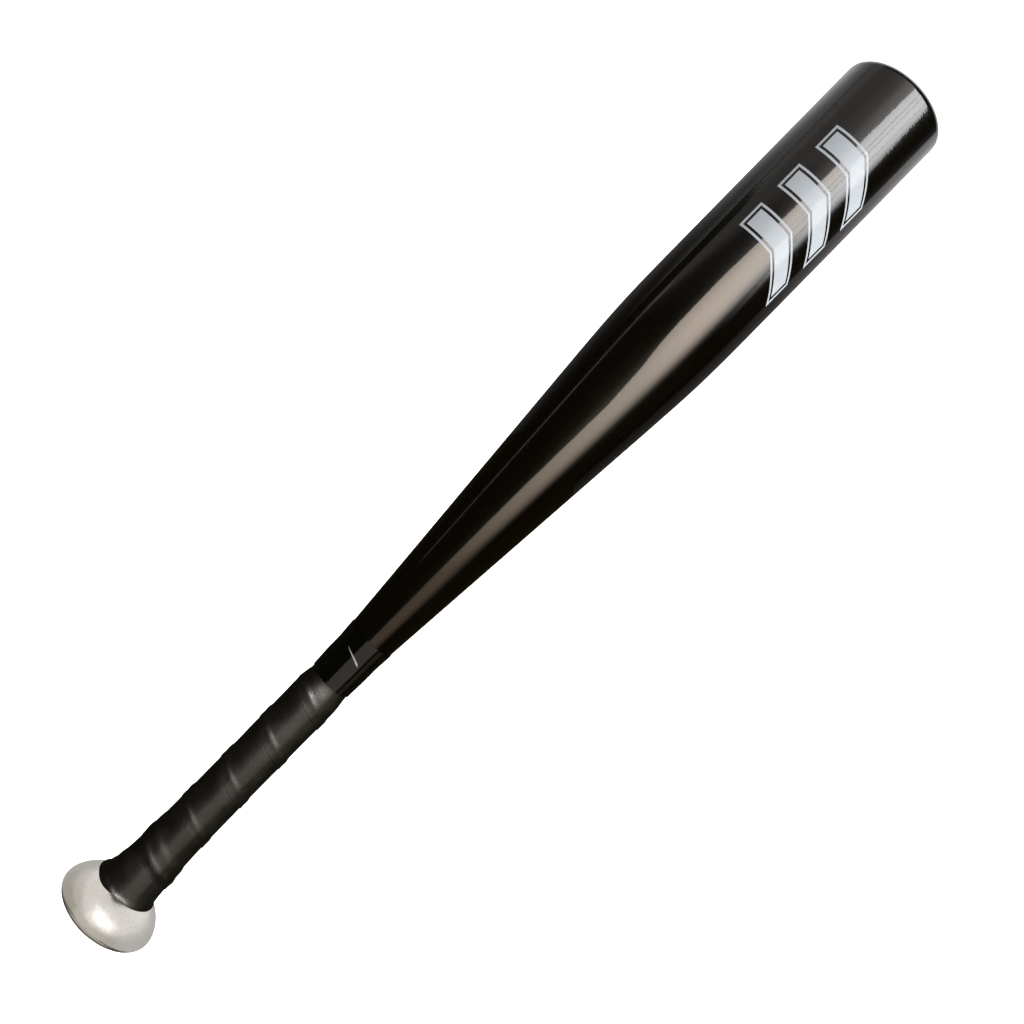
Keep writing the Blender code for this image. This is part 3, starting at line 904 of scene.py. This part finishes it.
def make_floor():
    """A pale table top that touches the knob's rim and the barrel."""
    tilt = (BARREL_R - KNOB_R) / (BARREL_REST_X - KNOB_REST_X)
    half = 3.0  # of the floor's side
    middle = LENGTH / 2

    def level(x):
        return -KNOB_R - (x - KNOB_REST_X) * tilt

    corners = [(middle - half, -half), (middle + half, -half), (middle + half, half), (middle - half, half)]
    mesh = bpy.data.meshes.new("floor")
    mesh.from_pydata([(x, y, level(x)) for x, y in corners], [], [(0, 1, 2, 3)])
    floor = bpy.data.objects.new("floor", mesh)
    bpy.context.scene.collection.objects.link(floor)
    g = Graph("pale_floor", (0.86, 0.86, 0.86), 0.8)
    tone = g.noise((6, 6, 6), 2.0)
    g.link(g.mix(tone, (0.85, 0.85, 0.85), (0.87, 0.87, 0.87)), "Base Color")
    mesh.materials.append(g.mat)
    floor.visible_glossy = False
    return floor


SOFTBOX_HEIGHT = 1.1
# The edge that hangs over the bat, as (x, y), a little curved.
SOFTBOX_NEAR = [(-0.75, -0.05), (-0.06, -0.07), (0.13, -0.12), (0.32, -0.24), (0.42, -0.12), (0.49, -0.01)]
SOFTBOX_NEAR += [(0.6, 0.06), (0.75, 0.08), (0.92, -0.03), (1.1, -0.11), (1.6, -0.15)]
SOFTBOX_FAR_Y = -2.9
SOFTBOX_STRENGTH = 15
SOFTBOX_TINTS = [(-0.75, (0.02, 0.015, 0.01)), (-0.06, (0.063, 0.048, 0.034)), (0.13, (0.197, 0.16, 0.124))]
SOFTBOX_TINTS += [(0.32, (0.347, 0.295, 0.236)), (0.48, (0.446, 0.382, 0.32)), (0.74, (0.54, 0.46, 0.38))]
SOFTBOX_TINTS += [(0.92, (0.585, 0.535, 0.49)), (1.1, (0.66, 0.66, 0.67))]
SOFTBOX_WIDTH = [(1.05, 1.0), (1.15, 0.75)]  # y is scaled by this before it fades, so less is deeper
SOFTBOX_FADE = [(-2.1, 0.0), (-1.8, 0.03), (-1.55, 0.09), (-1.2, 0.47), (-0.88, 0.86), (-0.6, 1.0)]
SOFTBOX_FADE += [(-0.3, 1.0), (0.1, 0.72)]
SLATS = (-0.42, -0.62, -1.0)  # dark bars across the bright end, as between window panes


def only_for(light, objects):
    """The light reaches just these objects, and only they shade it."""
    group = bpy.data.collections.new(light.name + "_lit")
    for obj in objects:
        group.objects.link(obj)
    light.light_linking.receiver_collection = group
    light.light_linking.blocker_collection = group


def glowing_panel(name, outline, height, objects, light):
    """A sheet that shines on a few objects. light(g, x, y) gives its colour and strength."""
    mesh = bpy.data.meshes.new(name)
    mesh.from_pydata([(x, y, height) for x, y in outline], [], [list(range(len(outline)))])
    obj = bpy.data.objects.new(name, mesh)
    bpy.context.scene.collection.objects.link(obj)
    g = Graph(name, (0, 0, 0), 1.0)
    color, strength = light(g, g.axis("X"), g.axis("Y"))
    g.link(color, "Emission Color")
    g.link(strength, "Emission Strength")
    mesh.materials.append(g.mat)
    obj.visible_camera = False
    obj.visible_shadow = False
    only_for(obj, objects)


def grey_glow(g, value, stops):
    return g.glow(value, [(at, (v, v, v)) for at, v in stops])


def make_softbox(objects):
    """One long softbox above and to the -Y side, brighter and cooler towards the barrel end."""

    def light(g, x, y):
        slats = 1.0
        for at in SLATS:
            away = g.math("ABSOLUTE", g.math("SUBTRACT", y, at), 0)
            slats = g.math("MULTIPLY", slats, g.ramp(away, 0.01, 0.03, 0.55, 1.0))
        at_end = g.ramp(x, 0.85, 1.0)
        shaded = g.math("ADD", g.math("MULTIPLY", at_end, slats), g.math("SUBTRACT", 1, at_end))
        inward = g.math("MULTIPLY", y, grey_glow(g, x, SOFTBOX_WIDTH))
        across = g.math("MULTIPLY", grey_glow(g, inward, SOFTBOX_FADE), SOFTBOX_STRENGTH)
        return g.glow(x, SOFTBOX_TINTS), g.math("MULTIPLY", across, shaded)

    far = [(x, SOFTBOX_FAR_Y) for x, y in reversed(SOFTBOX_NEAR)]
    glowing_panel("softbox", SOFTBOX_NEAR + far, SOFTBOX_HEIGHT, objects, light)


def make_end_glow(objects):
    """A dimmer area beyond the softbox's edge, over the barrel's end."""

    def light(g, x, y):
        along = [(0.6, 0.02), (0.73, 0.06), (0.9, 0.15), (1.0, 0.5), (1.09, 0.8), (1.15, 1.0)]
        across = [(-0.2, 1.0), (0.16, 0.9), (0.32, 0.56), (0.51, 0.35), (0.9, 0.26), (1.5, 0.2), (4.0, 0.18)]
        shares = g.math("MULTIPLY", grey_glow(g, x, along), grey_glow(g, y, across))
        tint = g.glow(y, [(-0.2, (1, 0.97, 0.93)), (4.0, (1, 0.96, 0.9))])
        return tint, g.math("MULTIPLY", shares, 2.0)

    outline = [(0.6, 0.08), (0.75, 0.07), (0.92, -0.03), (1.1, -0.11), (1.6, -0.15), (2.2, -0.15)]
    outline += [(3.4, 4), (0.6, 4)]
    glowing_panel("end_glow", outline, SOFTBOX_HEIGHT + 0.01, objects, light)


def make_table_glow(objects):
    """What the sides of the bat mirror of the table: bright by the barrel's end."""

    def light(g, x, y):
        along = [(0.3, 0.05), (0.36, 0.06), (0.44, 0.1), (0.5, 0.35), (0.55, 0.72), (0.6, 1.0)]
        across = [(-0.4, 0.02), (-0.14, 0.05), (-0.12, 1.0), (0.07, 0.9), (0.13, 0.5), (0.3, 0.42)]
        across += [(0.9, 0.3)]
        shares = g.math("MULTIPLY", grey_glow(g, x, along), grey_glow(g, y, across))
        tint = g.glow(x, [(0.2, (1, 0.86, 0.72)), (0.6, (1, 0.99, 1.0))])
        return tint, g.math("MULTIPLY", shares, 1.05)

    outline = [(0.3, -0.4), (1.5, -0.4), (1.5, 0.9), (0.3, 0.9)]
    glowing_panel("table_glow", outline, -BARREL_R - 2 * MM, objects, light)


def area_light(name, location, target, size, radiance, color, objects):
    """A flat rectangular light of a given brightness, aimed at a point."""
    data = bpy.data.lights.new(name, "AREA")
    data.shape = "RECTANGLE"
    data.size, data.size_y = size
    data.energy = 4 * size[0] * size[1] * radiance
    data.color = color
    light = bpy.data.objects.new(name, data)
    light.location = location
    aim = Vector(target) - Vector(location)
    light.rotation_mode = "QUATERNION"
    light.rotation_quaternion = aim.to_track_quat("-Z", "Y")
    bpy.context.scene.collection.objects.link(light)
    light.visible_camera = False
    only_for(light, objects)


def make_knob_lights(objects):
    """A dim pale tent closed round the polished knob, with a window towards the barrel."""
    near_x, far_x, side_y, roof, base = -0.9, 0.28, 0.9, 0.9, -0.7
    x, z = (near_x + far_x) / 2, (roof + base) / 2
    long, wide, tall = far_x - near_x, 2 * side_y, roof - base
    tent = [("roof", (x, 0, roof), (x, 0, 0), (long, wide), 0.44, (1.0, 0.95, 0.86))]
    tent += [("left", (x, side_y, z), (x, 0, z), (long, tall), 0.30, (1.0, 0.96, 0.84))]
    tent += [("right", (x, -side_y, z), (x, 0, z), (long, tall), 0.38, (1.0, 0.96, 0.95))]
    tent += [("far", (far_x, 0, z), (0, 0, z), (wide, tall), 0.44, (1.0, 0.97, 0.93))]
    tent += [("middle", (far_x, -0.05, z), (0, -0.05, z), (0.75, tall), 0.20, (1.0, 0.97, 0.94))]
    tent += [("window", (far_x, -0.07, 0.26), (0, -0.07, 0.26), (0.34, 0.26), 0.43, (0.97, 0.99, 1.0))]
    tent += [("near", (near_x, 0, 0.45), (0, 0, 0.45), (1.3, 0.9), 0.33, (1.0, 0.94, 0.84))]
    tent += [("base", (x, 0, base), (x, 0, 0), (long, wide), 0.38, (1.0, 0.97, 0.95))]
    tent += [("sky", (0.80, -0.40, 0.85), (0.80, -0.40, 0), (0.8, 1.5), 0.16, (1.0, 0.98, 0.90))]
    tent += [("glare", (0.70, -0.35, 0.84), (0.70, -0.35, 0), (0.45, 0.8), 0.12, (1.0, 0.98, 0.90))]
    for name, place, target, size, radiance, color in tent:
        area_light("knob_" + name, place, target, size, radiance, color, objects)


def make_lights(floor):
    middle = (LENGTH / 2, 0, 0)
    get = bpy.data.objects.get
    tube = get("painted_tube")
    knob = get("knob_casting")
    grip = [get("leather_strip"), get("vinyl_band")]
    # The prints, and the pale tape end that is partly a painted highlight, get their own light.
    prints = [o for o in bpy.data.objects if o.name.startswith("chevron")] + [get("tape_sliver")]
    make_softbox([tube, get("moulded_cap")])
    make_end_glow([tube])
    make_table_glow([tube])
    make_knob_lights([knob, get("rubber_vent_plug")])
    area_light("floor_wash", (LENGTH / 2, 0, 2.6), middle, (4, 4), 4.5, (1, 1, 1), [floor])
    area_light("end_wall", (3.2, 3.9, 0.5), (3.2, 0, 0.5), (2.4, 1.2), 0.36, (1, 0.97, 0.92), [tube])
    area_light("low_side", (0.1, -2.2, 0.35), (0.1, 0, 0.35), (1.6, 0.8), 0.22, (1, 0.85, 0.6), grip)
    area_light("print_light", (0.8, -0.7, 1.1), middle, (1.4, 1.2), 3.2, (0.98, 0.99, 1.0), prints)
    area_light("grip_key", (0.0, -0.8, 1.0), (0.0, -0.8, 0), (1.5, 1.75), 0.75, (1, 0.93, 0.80), grip)
    area_light("grip_ridges", (0.6, -0.3, 1.1), (0.6, -0.3, 0), (0.5, 1.2), 18.0, (1, 0.96, 0.9), grip[:1])
    area_light("taper_line", (0.35, 2.0, 0.72), (0.3, 0, 0), (1.2, 0.10), 0.6, (1, 0.96, 0.9), [tube])
    world = bpy.data.worlds.new("studio")
    world.use_nodes = True
    nodes, links = world.node_tree.nodes, world.node_tree.links
    background = nodes["Background"]
    background.inputs["Strength"].default_value = 1.0
    path = nodes.new("ShaderNodeLightPath")
    pick = nodes.new("ShaderNodeMix")
    pick.data_type = "RGBA"
    links.new(path.outputs["Is Camera Ray"], pick.inputs["Factor"])
    colors = [s for s in pick.inputs if s.type == "RGBA"]
    colors[0].default_value = (0.02, 0.016, 0.006, 1)
    colors[1].default_value = (0.97, 0.97, 0.97, 1)
    links.new([s for s in pick.outputs if s.type == "RGBA"][0], background.inputs["Color"])
    bpy.context.scene.world = world


make_tube()
make_knob()
make_vent_plug()
make_strip()
make_finishing_band()
make_tape_end_and_glint()
make_end_cap()
make_graphic()
dress_hidden_nodes()
make_camera()
make_lights(make_floor())
bpy.context.scene.view_settings.view_transform = "Standard"
